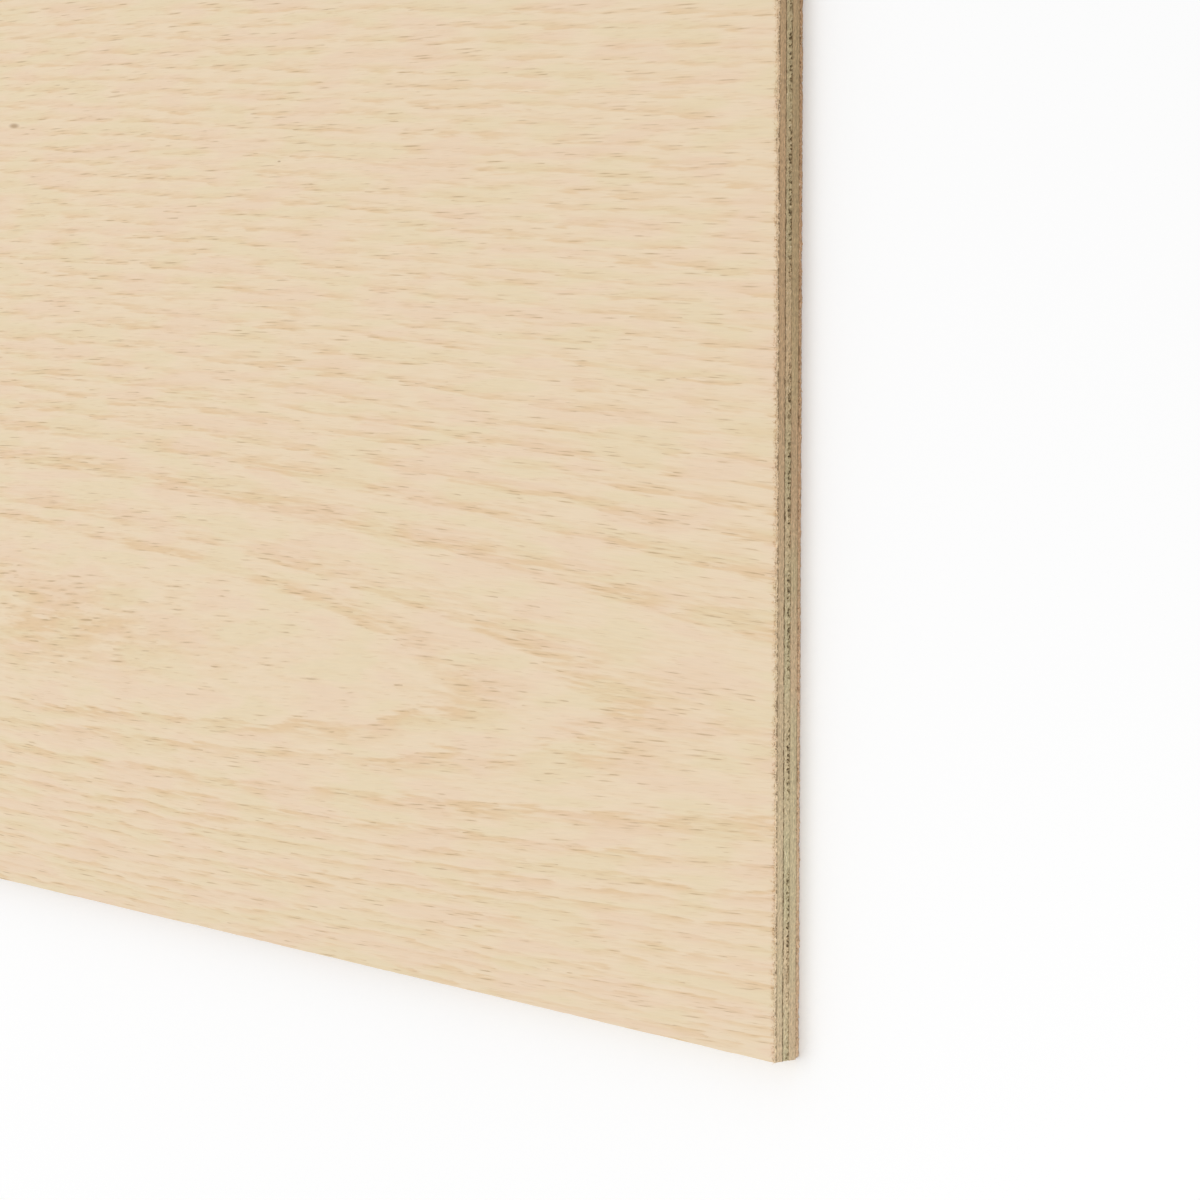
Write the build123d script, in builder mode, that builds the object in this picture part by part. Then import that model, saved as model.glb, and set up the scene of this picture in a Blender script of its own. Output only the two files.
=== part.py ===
"""A thin hardwood plywood panel: five veneers, glued face to face with their grain crossed.

The panel lies flat with its oak face up. X runs along the face grain and the long side,
Y runs across it, and Z goes up through the thickness. The origin is at the middle of the
underside. The near right corner, at +X and -Y, is the one that is worn round on the back.
"""

import os

from build123d import *

# Driving dimensions, in millimetres
PANEL_LENGTH = 1219.2  # along the face grain, between the two short ends
PANEL_WIDTH = 609.6  # across the face grain, between the two long sides

BACK_VENEER_THICKNESS = 0.70  # rotary cut, grain along the panel
BACK_CROSSBAND_THICKNESS = 1.40  # grain across the panel
CORE_PLY_THICKNESS = 1.30  # grain along the panel
FACE_CROSSBAND_THICKNESS = 1.25  # grain across the panel
FACE_VENEER_THICKNESS = 0.55  # sliced oak, sanded thin, grain along the panel

WORN_CORNER_RADIUS = 0.9  # the back veneer's near right corner

# The plies in the order in which they are laid up, from the back to the face
LAY_UP = (
    ("back_veneer", BACK_VENEER_THICKNESS),
    ("back_crossband", BACK_CROSSBAND_THICKNESS),
    ("core_ply", CORE_PLY_THICKNESS),
    ("face_crossband", FACE_CROSSBAND_THICKNESS),
    ("face_veneer", FACE_VENEER_THICKNESS),
)


def near_right_corner(part):
    """The upright edge where the right end meets the near side."""
    return part.edges().filter_by(Axis.Z).group_by(Axis.X)[-1].sort_by(Axis.Y)[0]


os.makedirs("parts", exist_ok=True)

ply_base = 0.0
for label, thickness in LAY_UP:
    with BuildPart() as ply:
        with BuildSketch(Plane.XY.offset(ply_base)):
            Rectangle(PANEL_LENGTH, PANEL_WIDTH)
        extrude(amount=thickness)
        if label == "back_veneer":
            fillet(near_right_corner(ply), radius=WORN_CORNER_RADIUS)
    ply.part.label = label
    export_step(ply.part, f"parts/{label}.step")
    ply_base += thickness
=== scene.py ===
"""Dresses a thin plywood panel: sliced oak on the face, sawn and torn plies round the edge,
rotary cut veneer on the back, lying on a white floor.

The settings hold lengths in metres, as Blender keeps them. The shader groups turn Object
coordinates into millimetres first, so that the sizes of the wood's figure read as a joiner
would give them.
"""

import math

import bpy
from bpy.props import FloatProperty, FloatVectorProperty, PointerProperty
from mathutils import Matrix, Vector


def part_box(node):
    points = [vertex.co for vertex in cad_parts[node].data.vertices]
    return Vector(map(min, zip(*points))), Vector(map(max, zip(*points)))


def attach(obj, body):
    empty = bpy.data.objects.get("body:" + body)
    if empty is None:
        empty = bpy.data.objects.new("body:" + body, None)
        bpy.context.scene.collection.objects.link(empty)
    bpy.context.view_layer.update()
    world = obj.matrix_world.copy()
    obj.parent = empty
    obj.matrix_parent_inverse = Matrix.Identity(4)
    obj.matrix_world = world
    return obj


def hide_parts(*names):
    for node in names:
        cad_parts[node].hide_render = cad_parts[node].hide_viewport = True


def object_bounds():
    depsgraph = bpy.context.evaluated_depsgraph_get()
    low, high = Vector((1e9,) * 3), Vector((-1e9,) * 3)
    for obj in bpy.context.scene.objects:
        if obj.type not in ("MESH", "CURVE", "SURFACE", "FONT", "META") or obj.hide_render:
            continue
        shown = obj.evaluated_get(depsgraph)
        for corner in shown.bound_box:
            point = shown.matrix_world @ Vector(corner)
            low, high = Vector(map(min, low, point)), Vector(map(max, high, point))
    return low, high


bl_info = {
    "name": "Plywood panel",
    "version": (1, 0, 0),
    "blender": (4, 5, 0),
    "location": "View3D > Sidebar > Plywood",
    "description": "Sawn plies, an oak face and a rotary cut back for a thin plywood panel",
    "category": "Object",
}

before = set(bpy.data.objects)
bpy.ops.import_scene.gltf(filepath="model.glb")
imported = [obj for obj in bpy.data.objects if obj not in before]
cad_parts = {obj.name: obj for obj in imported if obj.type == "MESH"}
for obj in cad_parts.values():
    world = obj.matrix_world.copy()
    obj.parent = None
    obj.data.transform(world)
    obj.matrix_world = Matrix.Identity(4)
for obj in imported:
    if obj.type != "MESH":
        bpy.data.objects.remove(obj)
CAD_BOX = [list(corner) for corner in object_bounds()]

LOW, HIGH = Vector(CAD_BOX[0]), Vector(CAD_BOX[1])
PANEL_LENGTH = HIGH.x - LOW.x
PANEL_WIDTH = HIGH.y - LOW.y
MM = 1000.0  # millimetres in a metre


def srgb(red, green, blue):
    """A colour given from 0 to 255, as the linear numbers that Blender keeps."""

    def linear(value):
        value /= 255.0
        return value / 12.92 if value <= 0.04045 else ((value + 0.055) / 1.055) ** 2.4

    return tuple(linear(value) for value in (red, green, blue))


def number(name, description, default, least=0.0, **units):
    return FloatProperty(name=name, description=description, default=default, min=least, **units)


def length(name, description, default):
    return number(name, description, default, subtype="DISTANCE", unit="LENGTH", precision=5)


def power(name, description, default):
    return number(name, description, default, subtype="POWER", unit="POWER")


def colour(name, description, default):
    return FloatVectorProperty(
        name=name, description=description, default=default, min=0.0, max=1.0, size=3, subtype="COLOR"
    )


class OakFaceSettings(bpy.types.PropertyGroup):
    """The sliced oak of the face"""

    leaf_width: length("Leaf width", "Width of one sliced leaf of the face, joined edge to edge", 0.2032)
    heart_line: length("Heart line", "From a leaf's outer edge to the middle of its cathedrals", 0.0503)
    ring_scale: number("Ring scale", "Share by which every year of the log grew wider", 1.0, least=0.1)
    pore_length: length("Pore length", "Usual length of an open pore on the face", 0.0052)
    pore_width: length("Pore width", "Usual width of an open pore on the face", 0.00025)
    pale_colour: colour("Late wood", "Dense pale wood between the bands", srgb(236, 215, 185))
    warm_colour: colour("Early wood", "Porous warm wood of the bands", srgb(229, 200, 161))
    pore_colour: colour("Pores", "Soft streaks along the open pores", srgb(216, 187, 148))
    slit_colour: colour("Slits", "The open pores' dark insides", srgb(170, 142, 106))
    fleck_colour: colour("Pin flecks", "Small dark flecks in the face", srgb(160, 124, 84))
    edge_colour: colour("Oak edge", "End grain of the face", srgb(243, 218, 182))
    pink_colour: colour("Pink cast", "Faint pink patches", srgb(235, 207, 181))
    straw_colour: colour("Straw cast", "Faint yellow patches", srgb(230, 214, 176))


class EdgeSettings(bpy.types.PropertyGroup):
    """The sawn edge and its five plies"""

    torn_depth: length("Torn depth", "How rough the saw leaves end grain", 0.00026)
    sawn_depth: length("Sawn depth", "How rough the saw leaves long grain", 0.00004)
    pit_depth: length("Pit depth", "Depth of the holes torn out of the core", 0.0005)
    chip_depth: length("Chip depth", "How far the arrises of the face and the back are chipped", 0.0005)
    splinter_length: length("Splinter length", "Length of the fibres left standing at the ends", 0.0006)
    crossband_colour: colour("Crossbands", "The two plies that run across", srgb(214, 190, 155))
    core_colour: colour("Core", "The ply in the middle", srgb(220, 197, 160))
    green_colour: colour("Green cast", "Greenish heartwood of the inner plies", srgb(204, 194, 156))
    # Painted shade in the torn holes, deeper holes darker, and the colour of dark specks in torn end
    # grain
    pit_and_shade_colour: colour("Pits", "Torn holes in end grain", srgb(112, 88, 56))
    worn_radius: length("Worn radius", "Radius of the back's worn corner", 0.0009)
    fleck_colour: colour("Flecks", "Bright ends of torn fibres", srgb(240, 224, 196))
    glue_colour: colour("Glue", "The line of glue between two plies", srgb(120, 96, 64))


class BackSettings(bpy.types.PropertyGroup):
    """The rotary cut veneer of the back"""

    sheet_colour: colour("Back veneer", "Even colour of the back", srgb(228, 204, 172))
    streak_colour: colour("Streaks", "Soft darker streaks of the back", srgb(214, 184, 148))
    edge_colour: colour("Back veneer's edge", "Pinkish end grain of the back veneer", srgb(227, 195, 160))


class StageSettings(bpy.types.PropertyGroup):
    """Floor, lamps and camera"""

    floor_colour: colour("Floor", "The plain floor", (0.93, 0.93, 0.93))
    sky_level: number("Sky level", "Even light from all round", 0.74)
    key_power: power("Key lamp", "Power of the soft lamp overhead", 10.8)
    end_power: power("End lamp", "Power of the soft lamp off the near right corner", 0.072)
    lens: number(
        "Lens", "Focal length on a 36 mm wide sensor", 135.0, least=1.0, subtype="DISTANCE_CAMERA",
        unit="CAMERA",
    )


class Wiring:
    """Adds nodes to one tree. An input takes a socket, a node's first output or a plain value."""

    def __init__(self, tree):
        self.tree = tree

    def feed(self, socket, value):
        if isinstance(value, bpy.types.Node):
            value = value.outputs[0]
        if isinstance(value, bpy.types.NodeSocket):
            self.tree.links.new(value, socket)
        elif socket.type == "RGBA" and len(value) == 3:
            socket.default_value = (*value, 1.0)
        else:
            socket.default_value = value

    def fill(self, node, **values):
        """Feeds a node's inputs by name, with _ for each space."""
        for name, value in values.items():
            self.feed(node.inputs[name.replace("_", " ")], value)

    def add(self, kind, inputs=None, **settings):
        node = self.tree.nodes.new(kind)
        for name, value in settings.items():
            setattr(node, name, value)
        for key, value in (inputs or {}).items():
            self.feed(node.inputs[key], value)
        return node

    def math(self, operation, *values, clamp=False):
        node = self.add("ShaderNodeMath", dict(enumerate(values)), operation=operation, use_clamp=clamp)
        return node.outputs[0]

    def plus(self, first, second):
        return self.math("ADD", first, second)

    def minus(self, first, second):
        return self.math("SUBTRACT", first, second)

    def times(self, product, *factors):
        """Two or more numbers multiplied, from the left."""
        for factor in factors:
            product = self.math("MULTIPLY", product, factor)
        return product

    def times_plus(self, first, second, third):
        """first times second, plus third."""
        return self.math("MULTIPLY_ADD", first, second, third)

    def over(self, first, second):
        return self.math("DIVIDE", first, second)

    def most(self, first, second):
        return self.math("MAXIMUM", first, second)

    def least(self, first, second):
        return self.math("MINIMUM", first, second)

    def vector(self, operation, *values):
        node = self.add("ShaderNodeVectorMath", dict(enumerate(values)), operation=operation)
        return node.outputs["Value" if operation == "LENGTH" else "Vector"]

    def scaled(self, vector, factor):
        return self.add("ShaderNodeVectorMath", {0: vector, 3: factor}, operation="SCALE").outputs[0]

    def split(self, vector):
        return self.add("ShaderNodeSeparateXYZ", {0: vector}).outputs

    def join(self, x, y, z=0.0):
        return self.add("ShaderNodeCombineXYZ", {0: x, 1: y, 2: z}).outputs[0]

    def ramp(self, value, low, high, to_low=0.0, to_high=1.0, smooth=True):
        """value carried from the range low..high to the range to_low..to_high, and held at its ends."""
        node = self.add(
            "ShaderNodeMapRange", {0: value, 1: low, 2: high, 3: to_low, 4: to_high},
            interpolation_type="SMOOTHSTEP" if smooth else "LINEAR",
        )
        return node.outputs[0]

    def fall(self, value, low, high):
        """1 up to low, 0 from high on, and a straight line between."""
        return self.ramp(value, low, high, 1.0, 0.0, smooth=False)

    def blend(self, factor, first, second, way="MIX"):
        """Two colours mixed."""
        node = self.add(
            "ShaderNodeMix", {0: factor, 6: first, 7: second}, data_type="RGBA", blend_type=way,
        )
        return node.outputs[2]

    def shade(self, colour, light):
        """A colour made lighter or darker by a number round 1."""
        return self.blend(1.0, colour, self.join(light, light, light), way="MULTIPLY")

    def between(self, factor, first, second):
        """Two numbers mixed."""
        return self.add("ShaderNodeMix", {0: factor, 2: first, 3: second}).outputs[0]

    def noise(self, vector, detail=2.0, roughness=0.5, scale=1.0, flat=False):
        """Even noise from 0 to 1. Flat noise leaves the vector's Z out."""
        node = self.add(
            "ShaderNodeTexNoise",
            {"Vector": vector, "Scale": scale, "Detail": detail, "Roughness": roughness},
            noise_dimensions="2D" if flat else "3D",
        )
        return node.outputs[0]

    def three_noises(self, vector):
        """Three flat noises of one scale that don't follow each other."""
        node = self.add(
            "ShaderNodeTexNoise", {"Vector": vector, "Scale": 1.0, "Detail": 1.0}, noise_dimensions="2D",
        )
        return self.split(node.outputs["Color"])

    def curve(self, value, points):
        """value carried along straight lines between points that lie in 0..1, and straight on beyond."""
        node = self.add("ShaderNodeFloatCurve", {"Value": value})
        line = node.mapping.curves[0]
        for at, height in points[1:-1]:
            line.points.new(at, height)
        for made, (at, height) in zip(line.points, points):
            made.location = (at, height)
            made.handle_type = "VECTOR"
        node.mapping.extend = "EXTRAPOLATED"
        node.mapping.update()
        return node.outputs[0]


def sockets(kind, **defaults):
    """Inputs of one kind for a node group, by name, with their first values."""
    return [(name.replace("_", " "), kind, default) for name, default in defaults.items()]


PLACE = ("Place", "Vector", None)  # the input by which a group learns where the point lies, in mm


def new_group(name, inputs, outputs, kind="ShaderNodeTree"):
    """An empty node group with named sockets: its tree, its wiring and its inputs by name."""
    tree = bpy.data.node_groups.new(name, kind)
    for label, socket, default in inputs:
        made = tree.interface.new_socket(name=label, in_out="INPUT", socket_type="NodeSocket" + socket)
        if default is not None:
            made.default_value = default
    for label, socket in outputs:
        tree.interface.new_socket(name=label, in_out="OUTPUT", socket_type="NodeSocket" + socket)
    wiring = Wiring(tree)
    return tree, wiring, tree.nodes.new("NodeGroupInput").outputs


def close_group(tree, wiring, **outputs):
    wiring.fill(tree.nodes.new("NodeGroupOutput"), **outputs)
    return tree


def use_group(wiring, name, **inputs):
    """Places a shader group in a tree, with its values, and returns its outputs."""
    node = wiring.tree.nodes.new("ShaderNodeGroup")
    node.node_tree = bpy.data.node_groups[name]
    wiring.fill(node, **inputs)
    return node.outputs


# Shader groups: the wood's figure

# All in millimetres, but for phases, slopes and shares
HEART_DEPTH = 34.9  # mean distance from the leaf to the log's heart
DEPTH_SWAY, DEPTH_SWAY_LENGTH, DEPTH_SWAY_PHASE = 5.8, 800.0, 2.51  # how that changes along the log
LINE_SWAY, LINE_SWAY_LENGTH = 6.0, 1800.0  # how the heart line swings across the leaf
# Distance from the heart and the year grown there: lean and fat years, then even narrow ones.
# A half marks where a year's porous band gives way early to dense wood
YEARS = (
    (29.3, 0.0), (30.6, 0.5), (34.3, 1.0), (36.3, 2.0), (37.4, 2.5), (41.2, 3.0), (46.1, 4.0),
    (49.6, 5.0), (52.7, 6.0), (55.3, 7.0), (58.2, 8.0), (61.2, 9.0), (64.6, 10.0), (67.8, 11.0),
    (70.4, 12.0), (72.9, 13.0), (75.4, 14.0), (77.9, 15.0),
)
CROWDED_FROM = 37.0  # on the near side of the heart line the log grew less from here on
CROWDED_MORE = 0.67  # share by which its rings are closer there
NEAR_SIDE_FROM, NEAR_SIDE_FULL = 2.0, -10.0  # the near side starts and is full this far off the line
LEAF_SLIP = 38.0  # each leaf lies this much further along the log than the last
LEAF_APART = 507.0  # each leaf reads the noises this much further on, so that no two are alike
FAN_SLOPE = 0.045  # the fibres fan out from the heart line at up to this slope
FAN_LENGTH = 700.0
FAN_REACH = 22.0  # the slope is greatest this far from the heart line
PATCH_LENGTH, PATCH_WIDTH = 24.0, 4.0  # patches in which the rings wander and the tint changes
STREAK_LENGTH, STREAK_WIDTH = 10.0, 0.7
STREAK_SHEAR = 0.9  # patches and streaks start later by this share of their place across
STAGGER = 0.62  # each row of pores or fibres starts this share of a length after the last


def growth_figure_group():
    """Where a point of the sliced face lies in its year's ring, and its place along the fibres."""
    tree, w, given = new_group(
        "growth figure",
        [PLACE, *sockets("Float", Leaf_Width=203.2, Heart_Line=50.3, Ring_Scale=1.0)],
        [("Phase", "Float"), ("Strength", "Float"), ("Streak", "Float"), ("Tint", "Float"),
         ("Fibre Place", "Vector")],
    )
    x, y, _ = w.split(given["Place"])
    along = w.minus(PANEL_LENGTH * MM / 2, x)
    across = w.plus(y, PANEL_WIDTH * MM / 2)
    leaf = w.math("FLOOR", w.over(across, given["Leaf Width"]))
    # Every second leaf is turned over, as in a book match
    folded = w.math("PINGPONG", across, given["Leaf Width"])
    slipped = w.times_plus(leaf, LEAF_SLIP, along)
    swing = w.math("SINE", w.times(slipped, 2 * math.pi / LINE_SWAY_LENGTH))
    off_heart = w.minus(folded, w.times_plus(swing, LINE_SWAY, given["Heart Line"]))

    # The fibres run almost along X, and fan out a little from the heart line
    lean = w.over(off_heart, w.times_plus(off_heart, off_heart, FAN_REACH**2))
    widest = FAN_SLOPE * FAN_LENGTH / (2 * math.pi) * 2 * FAN_REACH
    fan = w.math("SINE", w.times(slipped, 2 * math.pi / FAN_LENGTH))
    fanned = w.minus(folded, w.times(fan, lean, widest))
    fibre_y = w.times_plus(leaf, LEAF_APART, fanned)
    shorn = w.times_plus(fibre_y, STREAK_SHEAR, slipped)
    patch_at = w.join(w.times(shorn, 1 / PATCH_LENGTH), w.times(fibre_y, 1 / PATCH_WIDTH))
    wander, strength, tint = w.three_noises(patch_at)
    streak_at = w.join(w.times(shorn, 1 / STREAK_LENGTH), w.times(fibre_y, 1 / STREAK_WIDTH))
    streak = w.noise(streak_at, detail=2.0, flat=True)

    # The log was sliced off its heart, so a ring's radius follows from the depth and the place across
    turn = w.times_plus(slipped, 2 * math.pi / DEPTH_SWAY_LENGTH, DEPTH_SWAY_PHASE)
    depth = w.times_plus(w.math("SINE", turn), DEPTH_SWAY, HEART_DEPTH)
    distance = w.vector("LENGTH", w.join(off_heart, depth))
    crowded = w.most(w.minus(distance, CROWDED_FROM), 0.0)
    near_side = w.ramp(off_heart, NEAR_SIDE_FROM, NEAR_SIDE_FULL)
    distance = w.plus(distance, w.times(crowded, near_side, CROWDED_MORE))
    # The rings wander, most of all far from the heart, and their edges are ragged
    loose = w.times_plus(near_side, 0.8, w.ramp(distance, 36.0, 60.0, 0.5, 1.8))
    distance = w.times_plus(w.minus(wander, 0.5), loose, distance)
    ragged = w.times(loose, 0.9)
    distance = w.times_plus(w.minus(streak, 0.5), ragged, distance)
    # The bands come and go along the grain, and they are weaker far from the heart
    fading = w.ramp(distance, 46.0, 62.0, 1.0, 0.68)
    strength = w.times(w.ramp(strength, 0.30, 0.60, 0.40, 1.0), fading)
    distance = w.over(distance, given["Ring Scale"])
    first, (last, years) = YEARS[0][0], YEARS[-1]
    points = [((radius - first) / (last - first), year / years) for radius, year in YEARS]
    share = w.over(w.minus(distance, first), last - first)
    year = w.times(w.curve(share, points), years)
    return close_group(
        tree, w, Phase=w.math("FRACT", year), Strength=strength, Streak=streak, Tint=tint,
        Fibre_Place=w.join(slipped, fibre_y),
    )


CELL_WIDTHS, CELL_LENGTHS = 1.9, 1.5  # a pore's cell, in the pore's own widths and lengths
LAYER_APART = 17.3  # layers of pores lie this many rows apart, so that they don't match


def open_pores_group():
    """Long narrow dashes along the grain, as sliced pores show. Lengths are those of the dashes."""
    tree, w, given = new_group(
        "open pores",
        [PLACE, *sockets("Float", Length=6.0, Width=0.28, Coverage=0.3, Layer=0.0)],
        [("Body", "Float"), ("Slit", "Float")],
    )
    x, y, _ = w.split(given["Place"])
    # A cell holds one pore with some wood round it. Each row of cells is set off from the last
    row = w.over(y, w.times(given["Width"], CELL_WIDTHS))
    row = w.times_plus(given["Layer"], LAYER_APART, row)
    column = w.over(x, w.times(given["Length"], CELL_LENGTHS))
    column = w.times_plus(row, STAGGER, column)
    pore = w.add(
        "ShaderNodeTexVoronoi", {"Vector": w.join(column, row), "Scale": 1.0, "Randomness": 1.0},
        voronoi_dimensions="2D",
    )
    chance, size, _ = w.split(pore.outputs["Color"])
    reach = w.times_plus(size, 0.25, 0.24)
    reach = w.times(reach, w.ramp(w.minus(given["Coverage"], chance), -0.02, 0.12))
    inside = w.minus(reach, pore.outputs["Distance"])
    return close_group(tree, w, Body=w.ramp(inside, 0.0, 0.20), Slit=w.ramp(inside, 0.16, 0.32))


def fibre_group():
    """Fine streaks along the grain of a flat face whose grain runs along X."""
    tree, w, given = new_group(
        "fibre",
        [PLACE, *sockets("Float", Streak_Length=9.0, Streak_Width=0.25)],
        [("Streaks", "Float")],
    )
    x, y, _ = w.split(given["Place"])
    across = w.over(y, given["Streak Width"])
    # Neighbouring streaks start and end at different places
    along = w.times_plus(across, STAGGER, w.over(x, given["Streak Length"]))
    streaks = w.noise(w.join(along, across), detail=2.0, roughness=0.6, flat=True)
    return close_group(tree, w, Streaks=streaks)


def place_in_mm(w):
    """The piece's Object coordinates in millimetres."""
    return w.scaled(w.add("ShaderNodeTexCoord").outputs["Object"], MM)


def new_material(name):
    """A material with its Principled shader, whose plain values the caller sets."""
    made = bpy.data.materials.new(name)
    made.use_nodes = True
    shader = made.node_tree.nodes["Principled BSDF"]
    shader.inputs["Specular IOR Level"].default_value = 0.35
    return made, shader, Wiring(made.node_tree)


def finish_material(w, shader, base, roughness, height, relief):
    """Colour, roughness and relief into the shader. relief is the height's size in metres."""
    bump = w.add("ShaderNodeBump", {"Strength": 1.0, "Distance": relief, "Height": height})
    w.fill(shader, Base_Color=base, Roughness=roughness, Normal=bump)


# From the right end, from the near side, half length, in mm
PIN_FLECKS = ((230.8, 149.7, 2.6), (138.3, 142.5, 0.8))
FLECK_SLIMNESS = 3.8  # a fleck's length over its width


def oak_face_material(oak):
    """Sliced oak: warm porous bands in cathedrals, pale wood between them, dashes of open pores."""
    made, shader, w = new_material("oak_face")
    place = place_in_mm(w)
    figure = use_group(
        w, "growth figure", Place=place, Leaf_Width=oak.leaf_width * MM, Heart_Line=oak.heart_line * MM,
        Ring_Scale=oak.ring_scale,
    )
    along_fibre = figure["Fibre Place"]
    phase = figure["Phase"]
    band = w.times(w.ramp(phase, 0.0, 0.18), w.ramp(phase, 0.85, 0.20))
    band = w.times(band, figure["Strength"])
    band = w.times(band, w.ramp(figure["Streak"], 0.36, 0.54, 0.55, 1.0))
    # Streaks soften the bands, and stray over the wood between them
    stray = w.minus(figure["Streak"], 0.5)
    stray = w.times(stray, w.times_plus(band, 0.7, 1.0))
    band = w.math("ADD", w.times_plus(band, 0.96, 0.06), stray, clamp=True)

    wood = w.blend(band, oak.pale_colour, oak.warm_colour)
    wood = w.blend(w.ramp(figure["Tint"], 0.52, 0.66, 0.0, 0.42), wood, oak.pink_colour)
    wood = w.blend(w.ramp(figure["Tint"], 0.48, 0.34, 0.0, 0.42), wood, oak.straw_colour)
    fine = use_group(w, "fibre", Place=along_fibre, Streak_Length=4.0, Streak_Width=0.30)["Streaks"]
    wood = w.shade(wood, w.times_plus(fine, 0.08, 0.96))

    long_pores = use_group(
        w, "open pores", Place=along_fibre, Length=oak.pore_length * MM, Width=oak.pore_width * MM,
        Coverage=w.times_plus(band, 0.88, 0.07), Layer=1.0,
    )
    short_pores = use_group(
        w, "open pores", Place=along_fibre, Length=oak.pore_length * MM * 0.5,
        Width=oak.pore_width * MM * 0.6, Coverage=w.times_plus(band, 0.75, 0.22), Layer=2.0,
    )
    deep = w.ramp(fine, 0.65, 0.30, 0.35, 1.0)
    pores = w.most(long_pores["Body"], w.times(short_pores["Body"], 0.7))
    base = w.blend(w.times(pores, w.times(deep, 0.48)), wood, oak.pore_colour)
    base = w.blend(w.times(long_pores["Slit"], deep, 0.50), base, oak.slit_colour)
    for from_end, from_side, size in PIN_FLECKS:
        centre = (PANEL_LENGTH * MM / 2 - from_end, from_side - PANEL_WIDTH * MM / 2, 0.0)
        slimness = (1 / size, FLECK_SLIMNESS / size, 0.0)
        off = w.vector("MULTIPLY", w.vector("SUBTRACT", place, centre), slimness)
        fleck = w.ramp(w.vector("LENGTH", off), 1.0, 0.2, 0.0, 0.65)
        base = w.blend(fleck, base, oak.fleck_colour)

    w.fill(shader, Base_Color=base, Roughness=w.times_plus(pores, 0.2, 0.6))
    return made


EDGE_SHADE_FROM_CORNER = (25.0, 130.0)  # painted shade: away from a corner the edges are darkened from here to here, in mm, standing in for light that falls off along them
PAINTED_EDGE_SHADE = (0.76, 0.66, 0.58, 1.0)  # what the painted shade on the edges away from the corners keeps of their colour, browner in the shade
FIBRE_LENGTH, FIBRE_WIDTH, FIBRE_LAYER = 15.0, 0.7, 0.28  # bundles of fibres in a sawn edge, in mm
CAST_LENGTH = 26.0  # stretches of an edge with one cast of colour, in mm
FILM = (0.04, -0.03)  # a glue line's edge goes from clear to full from here to here, in mm


def across_grain(w, on_end, grain):
    """1 where the saw cut across the fibres and 0 where it ran along them."""
    return w.minus(1.0, w.math("ABSOLUTE", w.minus(on_end, grain)))


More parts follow.
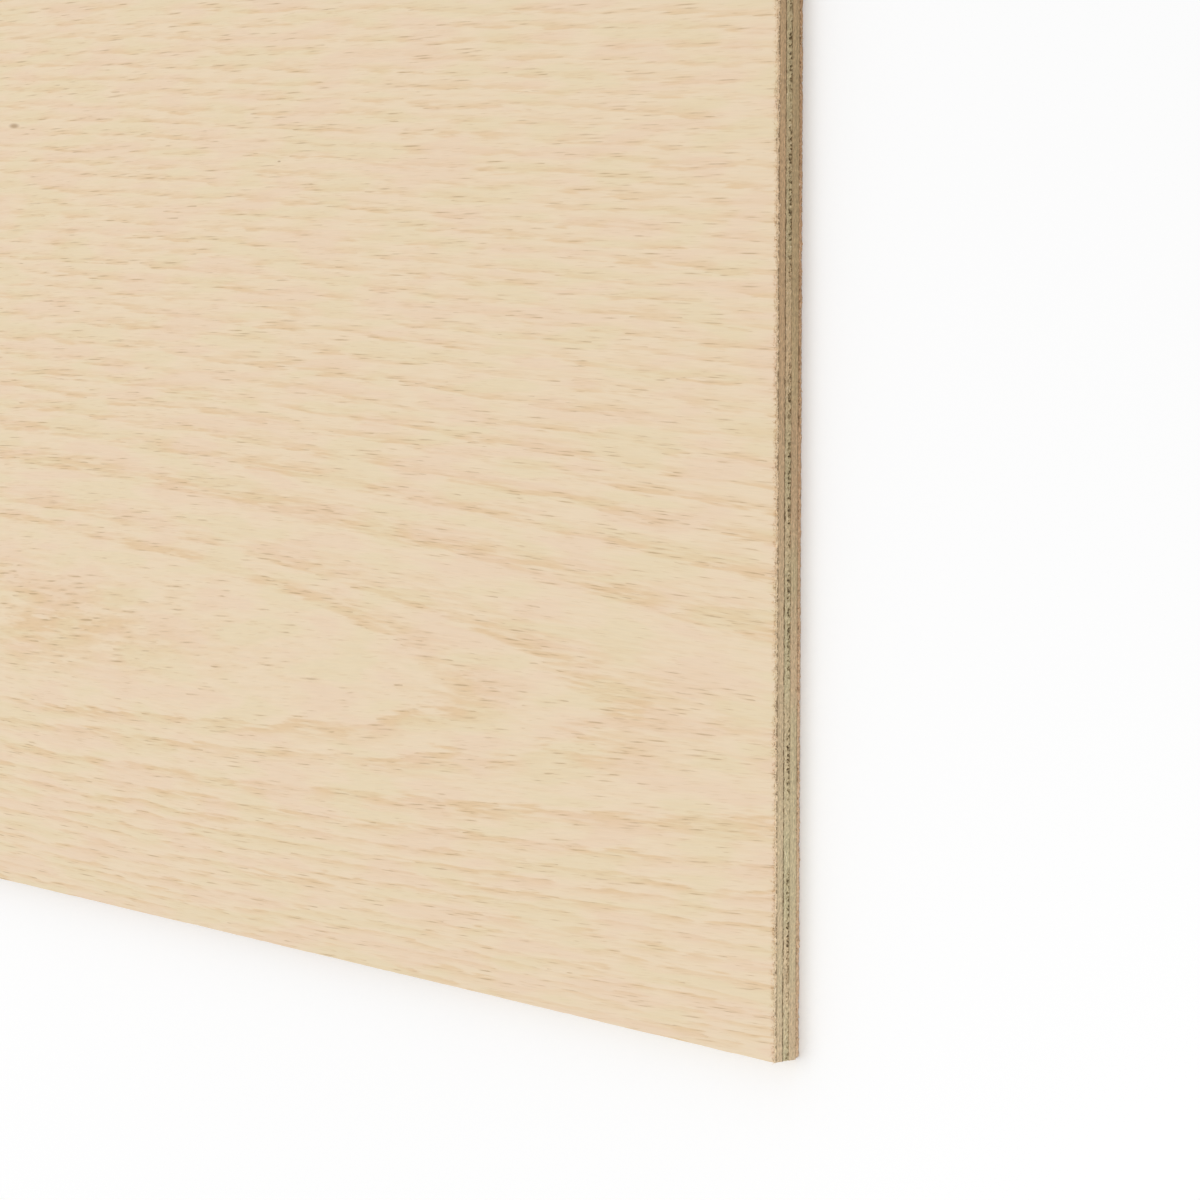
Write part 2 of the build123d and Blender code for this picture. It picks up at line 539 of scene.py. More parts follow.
def sawn_edge_group():
    """The sawn edge of one ply: its grain cut across or along, torn holes, and glue above and below."""
    tree, w, given = new_group(
        "sawn edge",
        [PLACE, *sockets("Color", Wood=None, Cast=None, Pit=None, Fleck=None, Glue=None),
         *sockets("Float", Grain=1.0, Base=0.0, Thickness=1.0, Glue_Under=0.5, Glue_Over=0.5,
                  Glue_Width=0.14, Glue_Hold=0.25, Castness=0.5, Tearing=1.0, Age=1.0)],
        [("Color", "Color"), ("Height", "Float")],
    )
    x, y, z = w.split(given["Place"])
    end_gap = w.minus(PANEL_LENGTH * MM / 2, w.math("ABSOLUTE", x))
    side_gap = w.minus(PANEL_WIDTH * MM / 2, w.math("ABSOLUTE", y))
    on_end = w.math("LESS_THAN", end_gap, side_gap)
    cut_across = across_grain(w, on_end, given["Grain"])
    sunk = w.least(end_gap, side_gap)
    run = w.between(on_end, x, y)

    along = w.between(given["Grain"], y, x)
    across = w.between(given["Grain"], x, y)
    bundle = w.over(across, FIBRE_WIDTH)
    layer = w.over(z, FIBRE_LAYER)
    along = w.times_plus(w.plus(bundle, layer), STAGGER, w.over(along, FIBRE_LENGTH))
    fibres = w.noise(w.join(along, bundle, layer), detail=3.0, roughness=0.62)
    stretch_at = w.join(w.times(run, 1 / CAST_LENGTH), w.times(given["Base"], 3.7), on_end)
    stretch = w.noise(stretch_at, detail=2.0)

    cast = w.times(w.ramp(stretch, 0.42, 0.60), given["Castness"])
    base = w.blend(cast, given["Wood"], given["Cast"])
    contrast = w.between(cut_across, 0.80, w.times_plus(given["Tearing"], 0.40, 0.50))
    light = w.times_plus(w.minus(fibres, 0.5), contrast, 1.0)
    grit = w.join(w.times(run, 1.3), w.times(z, 4.2))
    grit = w.noise(grit, detail=3.0, roughness=0.7, flat=True)
    light = w.times_plus(w.minus(grit, 0.5), 1.3, light)
    base = w.shade(base, light)
    # Painted shade: away from every corner the edges are darkened and made browner, standing in for light
    # that falls off along them
    edge_shade = w.times(w.ramp(w.most(end_gap, side_gap), *EDGE_SHADE_FROM_CORNER), given["Age"])
    base = w.blend(edge_shade, base, PAINTED_EDGE_SHADE, way="MULTIPLY")

    # The holes are painted darker the deeper they lie in from the outline, which is painted shade in the
    # recesses, and dark specks of torn fibre get the same colour; the ends of the fibres between them are
    # bright
    torn = w.times(cut_across, given["Tearing"])
    speckle = w.times(w.ramp(fibres, 0.40, 0.28), torn)
    pit_shade = w.most(w.ramp(sunk, 0.04, 0.42, 0.0, 0.72), w.times(speckle, 0.55))
    base = w.blend(pit_shade, base, given["Pit"])
    flecks = w.times(w.ramp(fibres, 0.60, 0.72), w.times(torn, 0.75))
    base = w.blend(flecks, base, given["Fleck"])

    # The glue line wavers and breaks off
    waver_at = w.join(w.times(run, 0.9), w.plus(given["Base"], 40.0))
    waver = w.noise(waver_at, detail=4.0, roughness=0.7, flat=True)
    rise = w.minus(z, given["Base"])
    width = w.times(w.ramp(waver, 0.30, 0.75, smooth=False), given["Glue Width"])
    broken = w.ramp(waver, 0.36, 0.54, given["Glue Hold"], 1.0)
    under = w.ramp(w.minus(rise, width), *FILM)
    over = w.ramp(w.minus(w.minus(given["Thickness"], rise), width), *FILM)
    glue = w.most(w.times(under, given["Glue Under"]), w.times(over, given["Glue Over"]))
    base = w.blend(w.times(glue, broken), base, given["Glue"])
    return close_group(tree, w, Color=base, Height=w.minus(fibres, glue))


def ply_edge_material(name, wood, sizes, edge, **figure):
    """The sawn edge of one ply. Its grain is 1 along the panel and 0 across it."""
    made, shader, w = new_material(name)
    sawn = use_group(
        w, "sawn edge", Place=place_in_mm(w), Wood=wood, Cast=edge.green_colour,
        Pit=edge.pit_and_shade_colour, Fleck=edge.fleck_colour, Glue=edge.glue_colour,
        Base=sizes["Base"] * MM, Thickness=sizes["Thickness"] * MM, **figure,
    )
    finish_material(w, shader, sawn["Color"], 0.75, sawn["Height"], 0.00006)
    return made


def back_face_material(back):
    """Rotary cut veneer: an even pinkish tan with soft broad streaks."""
    made, shader, w = new_material("back_face")
    place = place_in_mm(w)
    soft = use_group(w, "fibre", Place=place, Streak_Length=90.0, Streak_Width=5.0)["Streaks"]
    fine = use_group(w, "fibre", Place=place, Streak_Length=8.0, Streak_Width=0.25)["Streaks"]
    base = w.blend(w.ramp(soft, 0.35, 0.70), back.sheet_colour, back.streak_colour)
    base = w.shade(base, w.times_plus(fine, 0.12, 0.94))
    pores = use_group(w, "open pores", Place=place, Length=2.2, Width=0.16, Coverage=0.45, Layer=5.0)
    base = w.blend(w.times(pores["Body"], 0.35), base, back.streak_colour)
    roughness = w.times_plus(fine, 0.15, 0.55)
    finish_material(w, shader, base, roughness, fine, 0.00002)
    return made


# The sawn ply: one Geometry Nodes tree for every ply, in metres

MERGE_GAP = 0.00002  # points nearer than this become one
ON_WALL = 0.00001  # a point this near to the outline lies on it
NO_LENGTH = 0.000001  # stands for a length of zero that something is divided by
BORDER = 0.012  # how far in the fine triangles round a cap reach
MIDDLE_STEPS = 60  # along each side of a cap's plain middle
BAND_BEND = 1.6  # the power by which the rows of the arris band crowd towards the arris
DRAWN_OUT = 0.06  # how fast noise changes along the grain, as a share of how fast across it
SEED_APART = 7.31  # seeds lie this far apart in the noise
# Noises in the grained place: how fast they change, in steps to the millimetre, and how fine they are
TORN = {"scale": 1.6, "detail": 3.0, "roughness": 0.6}
RIPPLE = {"scale": 0.35, "detail": 1.0}
CLUSTERS = {"scale": 0.06, "detail": 3.0}
HOLES = {"scale": 2.6, "detail": 3.0, "roughness": 0.65}
CHIPS = {"scale": 1.5, "detail": 4.0, "roughness": 0.75}
SPLINTER_SLIMNESS = 0.11  # half a splinter's width over its length
SPLINTER_BAND = 0.0008  # splinters stand on what is within this of an end
# The least and the most that a splinter leans, and its size as a share, along X, Y and Z
SPLINTER_LEAN = ((-0.6, -1.1, -0.9), (0.1, 1.1, 0.9))
SPLINTER_SIZES = ((0.5, 0.5, 0.4), (1.5, 1.2, 1.5))
SHOW_SIDE = "show_side"


def outline_at(w, step, side_steps, end_steps, half_length, half_width, radius):
    """The point that lies so many steps round a rectangle with one worn corner.

    The steps are counted from the near left corner, and radius is that of the worn corner at +X and -Y.
    """
    half_turn = w.plus(side_steps, end_steps)
    halves = w.math("FLOOR", w.over(w.plus(step, 0.5), half_turn))
    rest = w.minus(step, w.times(halves, half_turn))
    on_side = w.least(w.over(rest, side_steps), 1.0)
    on_end = w.over(w.most(w.minus(rest, side_steps), 0.0), end_steps)
    turn = w.times_plus(halves, 2.0, w.plus(on_side, on_end))

    def swing(middle):
        gap = w.math("PINGPONG", w.minus(turn, middle), 2.0)
        return w.least(w.most(w.times_plus(gap, -2.0, 2.0), -1.0), 1.0)

    # Whatever lies out beyond the middle of the worn corner's arc is drawn in onto the arc
    middle_x = w.minus(half_length, radius)
    middle_y = w.minus(radius, half_width)
    out_x = w.minus(w.times(swing(1.5), half_length), middle_x)
    out_y = w.minus(w.times(swing(2.5), half_width), middle_y)
    bent_x = w.most(out_x, 0.0)
    bent_y = w.least(out_y, 0.0)
    reach = w.most(w.vector("LENGTH", w.join(bent_x, bent_y)), NO_LENGTH)
    drawn_in = w.over(w.most(radius, NO_LENGTH), reach)
    arc_x = w.times_plus(bent_x, drawn_in, w.least(out_x, 0.0))
    arc_y = w.times_plus(bent_y, drawn_in, w.most(out_y, 0.0))
    return w.plus(middle_x, arc_x), w.plus(middle_y, arc_y)


def moved(w, mesh, **place):
    """The mesh with its points set at Position, or shifted by Offset."""
    return w.add("GeometryNodeSetPosition", {0: mesh, **place})


def ring_of(w, side_steps, end_steps, half_length, half_width, radius):
    """A closed row of points round the ply."""
    count = w.times(w.plus(side_steps, end_steps), 2.0)
    ring = w.add("GeometryNodeMeshCircle", {"Vertices": count}, fill_type="NONE")
    step = w.add("GeometryNodeInputIndex")
    x, y = outline_at(w, step, side_steps, end_steps, half_length, half_width, radius)
    return moved(w, ring, Position=w.join(x, y))


def join_meshes(w, *parts):
    """The meshes of several nodes as one, in this order."""
    joined = w.add("GeometryNodeJoinGeometry")
    for part in parts:
        w.feed(joined.inputs[0], part)
    return joined


def sheet_inside(w, *rings):
    """Flat triangles inside one ring, or between two."""
    curve = w.add("GeometryNodeMeshToCurve", {0: join_meshes(w, *rings)})
    return w.add("GeometryNodeFillCurve", {0: curve}, mode="TRIANGLES")


def cap_of(w, given, half_length, half_width, z):
    """Closes the ply: a border with the same points round it as the walls have, and a plain middle."""
    outer = ring_of(
        w, given["Side Steps"], given["End Steps"], half_length, half_width, given["Worn Radius"],
    )
    inner = ring_of(
        w, MIDDLE_STEPS, MIDDLE_STEPS, w.minus(half_length, BORDER), w.minus(half_width, BORDER), 0.0,
    )
    whole = join_meshes(w, sheet_inside(w, outer, inner), sheet_inside(w, inner))
    return moved(w, whole, Offset=w.join(0.0, given["Centre Across"], z))


def walls_of(w, given, half_length, half_width, side):
    """A grid wrapped round the outline, from the arris band's inner rim down to the hidden side."""
    count = w.times(w.plus(given["Side Steps"], given["End Steps"]), 2.0)
    grid = w.add(
        "GeometryNodeMeshGrid",
        {"Size X": 1.0, "Size Y": 1.0, "Vertices X": w.plus(count, 1.0),
         "Vertices Y": w.plus(given["Rows"], 1.0)},
    )
    flat_x, flat_y, _ = w.split(w.add("GeometryNodeInputPosition"))
    step = w.math("ROUND", w.times(w.plus(flat_x, 0.5), count))
    down = w.plus(flat_y, 0.5)
    band_left = w.fall(down, 0.0, given["Band Share"])
    inset = w.times(w.math("POWER", band_left, BAND_BEND), given["Arris Band"])
    shown = w.fall(down, given["Band Share"], 1.0)
    height = w.plus(w.times(w.minus(shown, 0.5), side), 0.5)
    x, y = outline_at(
        w, step, given["Side Steps"], given["End Steps"], w.minus(half_length, inset),
        w.minus(half_width, inset), given["Worn Radius"],
    )
    z = w.times_plus(height, given["Thickness"], given["Base"])
    return moved(w, grid, Position=w.join(x, w.plus(y, given["Centre Across"]), z))


def mark_show_side(w, mesh, marked):
    return w.add(
        "GeometryNodeStoreNamedAttribute", {0: mesh, "Name": SHOW_SIDE, "Value": marked},
        data_type="BOOLEAN", domain="FACE",
    )


def smooth_ply(w, given, half_length, half_width, side):
    """Walls and caps closed into one mesh, before the saw tears it, with the show side marked.

    The show side's cap stops at the arris band, the hidden side's at the outline.
    """
    shown_up = w.math("GREATER_THAN", side, 0.0)
    shown_down = w.math("LESS_THAN", side, 0.0)
    top = w.plus(given["Base"], given["Thickness"])
    show_z = w.between(given["Turned Over"], top, given["Base"])
    hidden_z = w.between(given["Turned Over"], given["Base"], top)
    band = given["Arris Band"]
    walls = walls_of(w, given, half_length, half_width, side)
    show = cap_of(w, given, w.minus(half_length, band), w.minus(half_width, band), show_z)
    hidden = cap_of(w, given, half_length, half_width, hidden_z)
    parts = [
        w.add("GeometryNodeFlipFaces", {0: part, 1: flipped})
        for part, flipped in ((walls, shown_up), (show, shown_down), (hidden, shown_up))
    ]
    whole = join_meshes(w, *parts)
    whole = w.add("GeometryNodeMergeByDistance", {0: whole, "Distance": MERGE_GAP})
    normal_z = w.split(w.add("GeometryNodeInputNormal"))[2]
    return mark_show_side(w, whole, w.math("GREATER_THAN", w.times(normal_z, side), 0.7))


def level_in_ply(w, given, z):
    """How high z lies in the ply, and how far from its show side, both from 0 to 1."""
    level = w.over(w.minus(z, given["Base"]), given["Thickness"])
    return level, w.between(given["Turned Over"], w.minus(1.0, level), level)


def grained_place(w, given, place):
    """A place in mm, drawn out along the grain, so that noise makes ends torn and sides streaked."""
    along = w.between(given["Grain"], 1.0, DRAWN_OUT)
    across = w.between(given["Grain"], DRAWN_OUT, 1.0)
    drawn = w.vector("MULTIPLY", w.scaled(place, MM), w.join(along, across, 1.0))
    shift = w.times(given["Seed"], SEED_APART)
    return w.vector("ADD", drawn, w.join(shift, shift, shift))


def torn_shift(w, given, half_length, half_width, side):
    """How far the saw moves each point of the smooth ply: roughness, torn holes and chips."""
    place = w.add("GeometryNodeInputPosition")
    x, y, z = w.split(place)
    y_here = w.minus(y, given["Centre Across"])
    level, from_show = level_in_ply(w, given, z)

    # How near a point is to an end or a side: 0 at the arris band's inner rim, 1 on the outline
    end_gap = w.minus(half_length, w.math("ABSOLUTE", x))
    side_gap = w.minus(half_width, w.math("ABSOLUTE", y_here))
    band = w.most(given["Arris Band"], ON_WALL)
    by_end = w.fall(end_gap, 0.0, band)
    side_sawn = w.between(w.math("GREATER_THAN", y_here, 0.0), given["Near Sawn"], given["Far Sawn"])
    by_side = w.times(w.fall(side_gap, 0.0, band), side_sawn)
    on_end = w.minus(1.0, w.math("LESS_THAN", by_end, by_side))
    cut_across = across_grain(w, on_end, given["Grain"])

    grained = grained_place(w, given, place)
    torn = w.noise(grained, **TORN)
    ripple = w.times_plus(w.noise(grained, **RIPPLE), 0.9, -0.9)
    depth = w.between(cut_across, given["Sawn Depth"], given["Torn Depth"])
    rough = w.times(w.times_plus(torn, 1.3, ripple), depth)

    # Holes torn out of the end grain, in clusters, near one glue line
    clusters = w.ramp(w.noise(grained, **CLUSTERS), 0.38, 0.55)
    holes = w.ramp(w.noise(grained, **HOLES), 0.48, 0.62)
    nearness = w.math("ABSOLUTE", w.minus(level, given["Pit Height"]))
    holes = w.times(holes, clusters, w.ramp(nearness, 0.34, 0.08))
    holes = w.times(holes, w.times(given["Pit Depth"], cut_across))

    # Chips along the arris of the show side
    chips = w.ramp(w.noise(grained, **CHIPS), 0.42, 0.70)
    chips = w.times(chips, given["Chip Depth"], w.between(cut_across, 0.25, 1.0))
    near_arris = w.math("POWER", w.fall(from_show, 0.0, 0.55), 2.0)
    reach = w.math("POWER", w.most(by_end, by_side), 4.0)
    sunk = w.times(chips, reach, w.math("LESS_THAN", from_show, 0.01))
    sunk = w.times(sunk, w.math("GREATER_THAN", given["Arris Band"], 0.0))

    # The arris band is pushed together, so that its chips cut into the face
    outward = w.times_plus(chips, near_arris, w.plus(rough, holes))
    outward = w.times(outward, -1.0)
    return w.join(
        w.times(w.math("SIGN", x), by_end, outward),
        w.times(w.math("SIGN", y_here), by_side, outward),
        w.times(sunk, side, -0.6),
    )


def random_vector(w, low, high, seed):
    return w.add("FunctionNodeRandomValue", {0: low, 1: high, "Seed": seed}, data_type="FLOAT_VECTOR")


def splinters_on(w, given, ply, half_length):
    """Slivers of fibre left standing on the torn ends, most of them by the show side."""
    x, _, z = w.split(w.add("GeometryNodeInputPosition"))
    _, from_show = level_in_ply(w, given, z)
    at_end = w.math("LESS_THAN", w.minus(half_length, w.math("ABSOLUTE", x)), SPLINTER_BAND)
    share = given["Splinter Share"]
    likely = w.ramp(from_show, 0.25, 0.75, share, w.times(share, 0.2))
    chance = w.add("FunctionNodeRandomValue", {"Seed": given["Seed"]}).outputs[1]
    chosen = w.times(at_end, w.math("LESS_THAN", chance, likely))
    long = given["Splinter Length"]
    sliver = w.add(
        "GeometryNodeMeshCone",
        {"Vertices": 4, "Radius Top": 0.0, "Radius Bottom": w.times(long, SPLINTER_SLIMNESS),
         "Depth": long},
        fill_type="TRIANGLE_FAN",
    )
    sliver = mark_show_side(w, sliver, True)
    lean = random_vector(w, *SPLINTER_LEAN, given["Seed"])
    aim = w.vector("ADD", w.join(w.times(w.math("SIGN", x), 0.25), 0.0), lean)
    turn = w.add("FunctionNodeAlignRotationToVector", {"Vector": aim}, axis="Z")
    size = random_vector(w, *SPLINTER_SIZES, given["Seed"])
    return w.add(
        "GeometryNodeInstanceOnPoints",
        {"Points": ply, "Selection": chosen, "Instance": sliver, "Rotation": turn, "Scale": size},
    )


def sawn_ply_tree():
    """One sawn and torn ply, or one leaf of it, built from its sizes."""
    tree, w, given = new_group(
        "sawn ply",
        [*sockets("Float", Length=1.0, Width=0.5, Base=0.0, Thickness=0.001, Centre_Across=0.0,
                  Arris_Band=0.0, Band_Share=0.0, Turned_Over=0.0, Grain=1.0, Near_Sawn=1.0,
                  Far_Sawn=1.0, Torn_Depth=0.0, Sawn_Depth=0.0, Pit_Depth=0.0, Pit_Height=0.5,
                  Chip_Depth=0.0, Splinter_Length=0.0, Splinter_Share=0.0, Worn_Radius=0.0),
         *sockets("Int", Side_Steps=400, End_Steps=400, Rows=6, Seed=1),
         *sockets("Material", Edge_Finish=None, Show_Finish=None)],
        [("Geometry", "Geometry")],
        kind="GeometryNodeTree",
    )
    half_length = w.times(given["Length"], 0.5)
    half_width = w.times(given["Width"], 0.5)
    side = w.times_plus(given["Turned Over"], -2.0, 1.0)
    smooth = smooth_ply(w, given, half_length, half_width, side)
    shift = torn_shift(w, given, half_length, half_width, side)
    torn = moved(w, smooth, Offset=shift)
    everything = join_meshes(w, splinters_on(w, given, torn, half_length), torn)
    solid = w.add("GeometryNodeRealizeInstances", {0: everything})
    edged = w.add("GeometryNodeSetMaterial", {0: solid, "Material": given["Edge Finish"]})
    marked = w.add("GeometryNodeInputNamedAttribute", {"Name": SHOW_SIDE}, data_type="BOOLEAN")
    faced = w.add(
        "GeometryNodeSetMaterial", {0: edged, "Selection": marked, "Material": given["Show Finish"]},
    )
    return close_group(tree, w, Geometry=faced)


def build_ply(name, **sizes):
    """Runs the sawn ply tree with these inputs and keeps its result as a plain mesh."""
    tree = bpy.data.node_groups.get("sawn ply") or sawn_ply_tree()
    start = bpy.data.objects.new(name + "_start", bpy.data.meshes.new(name + "_start"))
    bpy.context.scene.collection.objects.link(start)
    modifier = start.modifiers.new("sawn ply", "NODES")
    modifier.node_group = tree
    inputs = [item for item in tree.interface.items_tree if item.in_out == "INPUT"]
    identifiers = {item.name.replace(" ", "_"): item.identifier for item in inputs}
    for key, value in sizes.items():
        modifier[identifiers[key]] = value
    graph = bpy.context.evaluated_depsgraph_get()
    mesh = bpy.data.meshes.new_from_object(start.evaluated_get(graph))
    bpy.data.objects.remove(start)
    if len(mesh.polygons) == 0:
        raise RuntimeError(f"the {name} came out empty")
    mesh.name = name
    piece = bpy.data.objects.new(name, mesh)
    bpy.context.scene.collection.objects.link(piece)
    return piece


def dress(piece, node):
    """The piece stands for a ply of the panel and moves with it."""
    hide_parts(node)
    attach(piece, "root")


def ply_sizes(node):
    low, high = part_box(node)
    return {"Length": PANEL_LENGTH, "Width": PANEL_WIDTH, "Base": low.z, "Thickness": high.z - low.z}


class PLYWOOD_OT_figure(bpy.types.Operator):
    """Make the shader groups that the plies share"""

    bl_idname = "plywood.figure"
    bl_label = "Wood figure"

    def execute(self, context):
        growth_figure_group()
        open_pores_group()
        fibre_group()
        sawn_edge_group()
        return {"FINISHED"}


class PLYWOOD_OT_face_veneer(bpy.types.Operator):
    """Make the leaves of the oak face"""

    bl_idname = "plywood.face_veneer"
    bl_label = "Oak face"

    def execute(self, context):
        oak, edge = context.scene.oak_face, context.scene.ply_edge
        leaves = round(PANEL_WIDTH / oak.leaf_width)
        leaf_width = PANEL_WIDTH / leaves
        sizes = {**ply_sizes("face_veneer"), "Width": leaf_width}
        finish = oak_face_material(oak)
        edge_finish = ply_edge_material(
            "oak_edge", oak.edge_colour, sizes, edge, Grain=1.0, Glue_Under=0.72, Glue_Over=0.0,
            Glue_Width=0.42, Glue_Hold=0.0, Castness=0.2, Tearing=1.0, Age=0.5,
        )
        for number in range(leaves):
            leaf = build_ply(
                f"face_veneer_leaf_{number + 1}", **sizes,
                Centre_Across=LOW.y + (number + 0.5) * leaf_width,
                Side_Steps=800, End_Steps=1400, Rows=8, Arris_Band=0.0010, Band_Share=3 / 8,
                Near_Sawn=float(number == 0), Far_Sawn=float(number == leaves - 1),
                Torn_Depth=edge.torn_depth * 0.8, Sawn_Depth=edge.sawn_depth, Chip_Depth=edge.chip_depth,
                Splinter_Length=edge.splinter_length, Splinter_Share=0.28, Seed=11 + number,
                Edge_Finish=edge_finish, Show_Finish=finish,
            )
            dress(leaf, "face_veneer")
        return {"FINISHED"}


class PLYWOOD_OT_inner_plies(bpy.types.Operator):
    """Make the two crossbands and the core"""

    bl_idname = "plywood.inner_plies"
    bl_label = "Inner plies"

    def execute(self, context):
        edge = context.scene.ply_edge
        plies = (
            ("face_crossband", "crossband", edge.crossband_colour,
             {"Grain": 0.0, "Glue_Under": 1.0, "Glue_Over": 0.25, "Castness": 0.3, "Tearing": 0.5},
             {}),
            ("core_ply", "core", edge.core_colour,
             {"Grain": 1.0, "Glue_Under": 0.30, "Glue_Over": 1.0, "Castness": 0.8, "Age": 0.7},
             {"Pit_Depth": edge.pit_depth, "Pit_Height": 0.20, "Splinter_Share": 0.02}),
            ("back_crossband", "crossband", edge.crossband_colour,
             {"Grain": 0.0, "Glue_Under": 0.4, "Glue_Over": 0.15, "Castness": 0.6, "Tearing": 0.5},
             {}),
        )
        for number, (node, slot, wood, figure, tearing) in enumerate(plies):
            sizes = ply_sizes(node)
            finish = ply_edge_material(
                node + "_wood", wood, sizes, edge, Glue_Width=0.20, Glue_Hold=0.5, **figure,
            )
            piece = build_ply(
                node + "_sawn", **sizes, **tearing, Side_Steps=1500, End_Steps=2900, Rows=7,
                Grain=figure["Grain"], Torn_Depth=edge.torn_depth, Sawn_Depth=edge.sawn_depth,
                Splinter_Length=edge.splinter_length * 0.7, Seed=21 + number,
                Edge_Finish=finish, Show_Finish=finish,
            )
            dress(piece, node)
        return {"FINISHED"}


class PLYWOOD_OT_back_veneer(bpy.types.Operator):
    """Make the rotary cut back"""

    bl_idname = "plywood.back_veneer"
    bl_label = "Back veneer"

    def execute(self, context):
        back, edge = context.scene.ply_back, context.scene.ply_edge
        sizes = ply_sizes("back_veneer")
        edge_finish = ply_edge_material(
            "back_edge", back.edge_colour, sizes, edge, Grain=1.0, Glue_Under=0.25, Glue_Over=0.5,
            Glue_Width=0.22, Glue_Hold=0.1, Castness=0.1, Tearing=0.9, Age=1.0,
        )
        piece = build_ply(
            "back_veneer_sawn", **sizes, Side_Steps=1500, End_Steps=2700, Rows=8,
            Arris_Band=0.0008, Band_Share=3 / 8, Turned_Over=1.0,
            Torn_Depth=edge.torn_depth, Sawn_Depth=edge.sawn_depth,
            Pit_Depth=edge.pit_depth * 0.6, Pit_Height=0.72, Chip_Depth=edge.chip_depth * 0.3,
            Splinter_Length=edge.splinter_length, Splinter_Share=0.16, Worn_Radius=edge.worn_radius,
            Seed=41, Edge_Finish=edge_finish, Show_Finish=back_face_material(back),
        )
        dress(piece, "back_veneer")
        return {"FINISHED"}


# The camera looks down at the near right corner, with the picture's up along the panel's width
CAMERA_FROM_CORNER = Vector((0.53669, 0.13919, 0.45405))
CAMERA_BACK = Vector((0.78474, 0.09293, 0.61282))
CAMERA_UP = Vector((-0.07324, 0.99567, -0.05720))
SENSOR_WIDTH = 36.0
WHITE = (1.0, 1.0, 1.0)

# Square soft lamps: one high over the panel, one low beside its near right corner
KEY_SIZE, KEY_PLACE, KEY_AIM = 1.6, (-0.2, -0.3, 1.9), (0.1, 0.0, 0.0)
END_SIZE, END_PLACE = 0.12, (HIGH.x + 0.22, LOW.y - 0.16, 0.08)
FLOOR_REACH = 30.0
FLOOR_DROP = 0.00005  # the floor lies this far below the back, so that the two don't share a plane
NEAR_LIFT, FAR_LIFT = 0.10, 0.31  # the light that the floor adds by the panel and far from it
LIFT_FROM, LIFT_TO = 0.9, 2.6


def add_lamp(name, power, size, place, target):
    lamp = bpy.data.lights.new(name, "AREA")
    lamp.energy = power
    lamp.shape = "SQUARE"
    lamp.size = size
    holder = bpy.data.objects.new(name, lamp)
    holder.location = place
    holder.rotation_euler = (Vector(target) - Vector(place)).to_track_quat("-Z", "Y").to_euler()
    bpy.context.scene.collection.objects.link(holder)


def add_camera(lens):
    data = bpy.data.cameras.new("camera")
    data.lens = lens
    data.sensor_width = SENSOR_WIDTH
    data.clip_start, data.clip_end = 0.01, 50.0
    back = CAMERA_BACK.normalized()
    right = CAMERA_UP.cross(back).normalized()
    up = back.cross(right)
    corner = Vector((HIGH.x, LOW.y, HIGH.z))
    turn = Matrix((right, up, back)).transposed().to_4x4()
    holder = bpy.data.objects.new("camera", data)
    holder.matrix_world = Matrix.Translation(corner + CAMERA_FROM_CORNER) @ turn
    bpy.context.scene.collection.objects.link(holder)
    bpy.context.scene.camera = holder


def seen_straight(w):
    """1 for what the camera sees directly, in a mirror or through glass, and 0 for all other light."""
    path = w.add("ShaderNodeLightPath").outputs
    seen = w.most(path["Is Camera Ray"], path["Is Glossy Ray"])
    return w.most(seen, path["Is Transmission Ray"])


def white_world(level):
    world = bpy.data.worlds.new("white_room")
    bpy.context.scene.world = world
    world.use_nodes = True
    w = Wiring(world.node_tree)
    strength = w.between(seen_straight(w), level, 1.0)
    w.fill(world.node_tree.nodes["Background"], Color=WHITE, Strength=strength)


def floor_material(tint):
    """A plain pale floor that lifts itself to white for the camera and still holds the shadow."""
    made, shader, w = new_material("floor")
    # Far from the panel, where the lamps hardly reach, it is lifted more
    far_off = w.vector("LENGTH", w.add("ShaderNodeTexCoord").outputs["Object"])
    lift = w.ramp(far_off, LIFT_FROM, LIFT_TO, NEAR_LIFT, FAR_LIFT)
    w.fill(
        shader, Base_Color=tint, Roughness=0.9, Specular_IOR_Level=0.0, Emission_Color=WHITE,
        Emission_Strength=w.times(seen_straight(w), lift),
    )
    return made


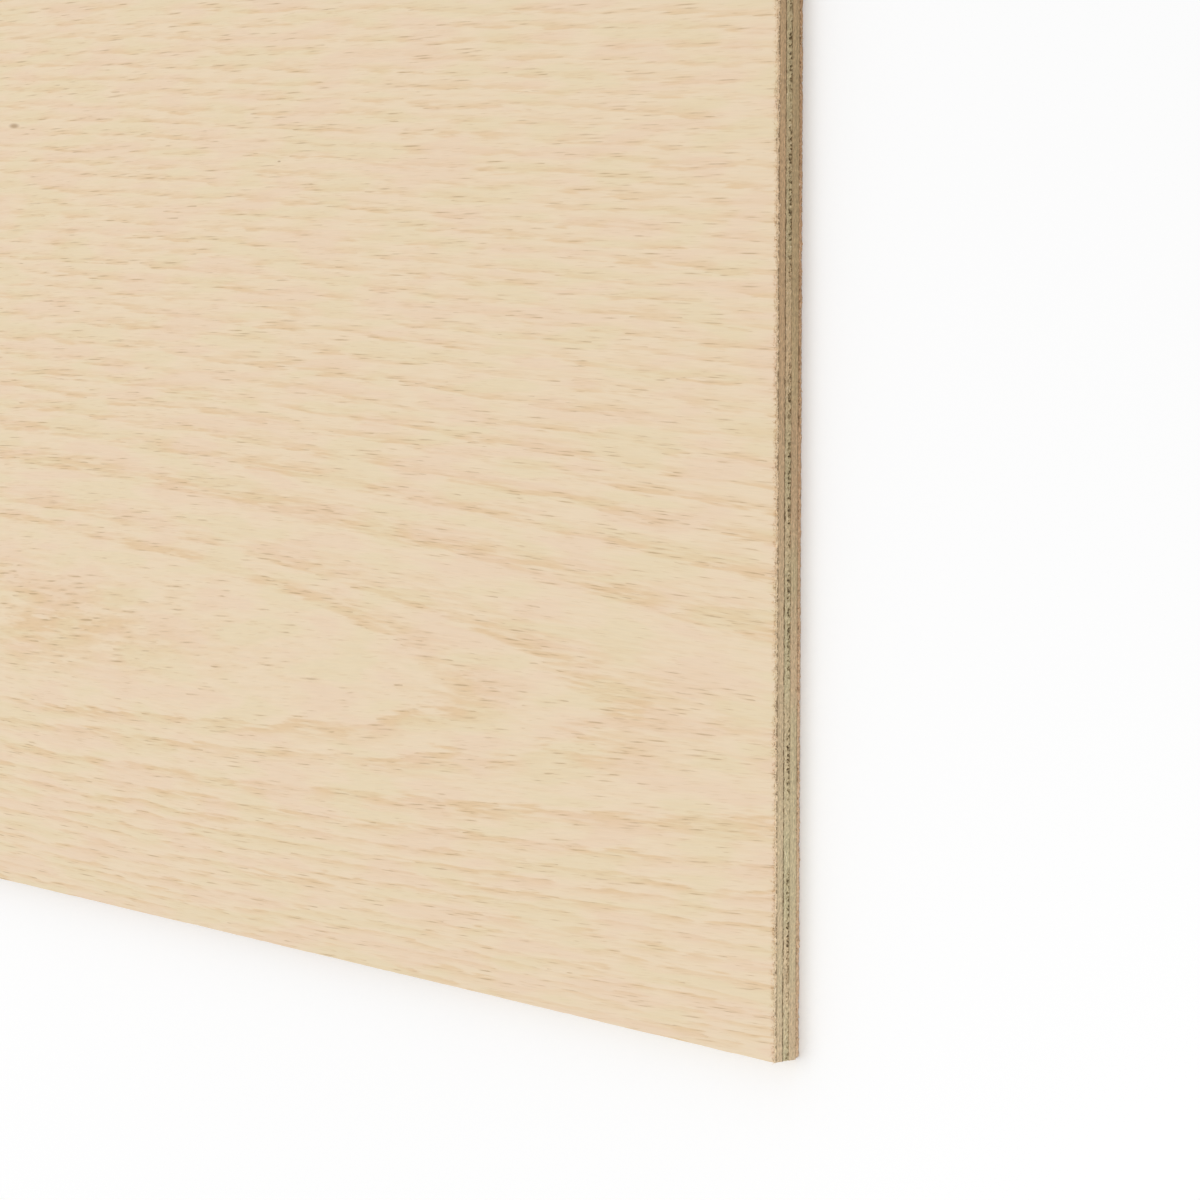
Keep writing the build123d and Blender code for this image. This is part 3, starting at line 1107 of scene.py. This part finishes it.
class PLYWOOD_OT_stage(bpy.types.Operator):
    """Make the floor, the lamps and the camera"""

    bl_idname = "plywood.stage"
    bl_label = "Stage"

    def execute(self, context):
        stage = context.scene.ply_stage
        mesh = bpy.data.meshes.new("floor")
        signs = ((-1, -1), (1, -1), (1, 1), (-1, 1))
        corners = [(x * FLOOR_REACH, y * FLOOR_REACH, -FLOOR_DROP) for x, y in signs]
        mesh.from_pydata(corners, [], [(0, 1, 2, 3)])
        mesh.materials.append(floor_material(stage.floor_colour))
        floor = bpy.data.objects.new("floor", mesh)
        context.scene.collection.objects.link(floor)
        white_world(stage.sky_level)
        add_lamp("key", stage.key_power, KEY_SIZE, KEY_PLACE, KEY_AIM)
        add_lamp("end", stage.end_power, END_SIZE, END_PLACE, (HIGH.x, LOW.y, 0.0))
        add_camera(stage.lens)
        context.scene.view_settings.view_transform = "Standard"
        return {"FINISHED"}


SETTINGS = {
    "oak_face": OakFaceSettings,
    "ply_edge": EdgeSettings,
    "ply_back": BackSettings,
    "ply_stage": StageSettings,
}
OPERATORS = (
    PLYWOOD_OT_figure,
    PLYWOOD_OT_face_veneer,
    PLYWOOD_OT_inner_plies,
    PLYWOOD_OT_back_veneer,
    PLYWOOD_OT_stage,
)


class PLYWOOD_PT_panel(bpy.types.Panel):
    """Lists the settings and the steps"""

    bl_idname = "PLYWOOD_PT_panel"
    bl_label = "Plywood panel"
    bl_space_type = "VIEW_3D"
    bl_region_type = "UI"
    bl_category = "Plywood"

    def draw(self, context):
        for name, settings in SETTINGS.items():
            box = self.layout.box()
            box.label(text=settings.__doc__)
            for key in settings.__annotations__:
                box.prop(getattr(context.scene, name), key)
        for operator in OPERATORS:
            self.layout.operator(operator.bl_idname)


def register():
    for settings in SETTINGS.values():
        bpy.utils.register_class(settings)
    for name, settings in SETTINGS.items():
        setattr(bpy.types.Scene, name, PointerProperty(type=settings))
    for made in (*OPERATORS, PLYWOOD_PT_panel):
        bpy.utils.register_class(made)


def unregister():
    for made in (PLYWOOD_PT_panel, *reversed(OPERATORS)):
        bpy.utils.unregister_class(made)
    for name, settings in reversed(SETTINGS.items()):
        delattr(bpy.types.Scene, name)
        bpy.utils.unregister_class(settings)


def main():
    register()
    bpy.ops.plywood.figure()
    bpy.ops.plywood.face_veneer()
    bpy.ops.plywood.inner_plies()
    bpy.ops.plywood.back_veneer()
    bpy.ops.plywood.stage()


if __name__ == "__main__":
    main()
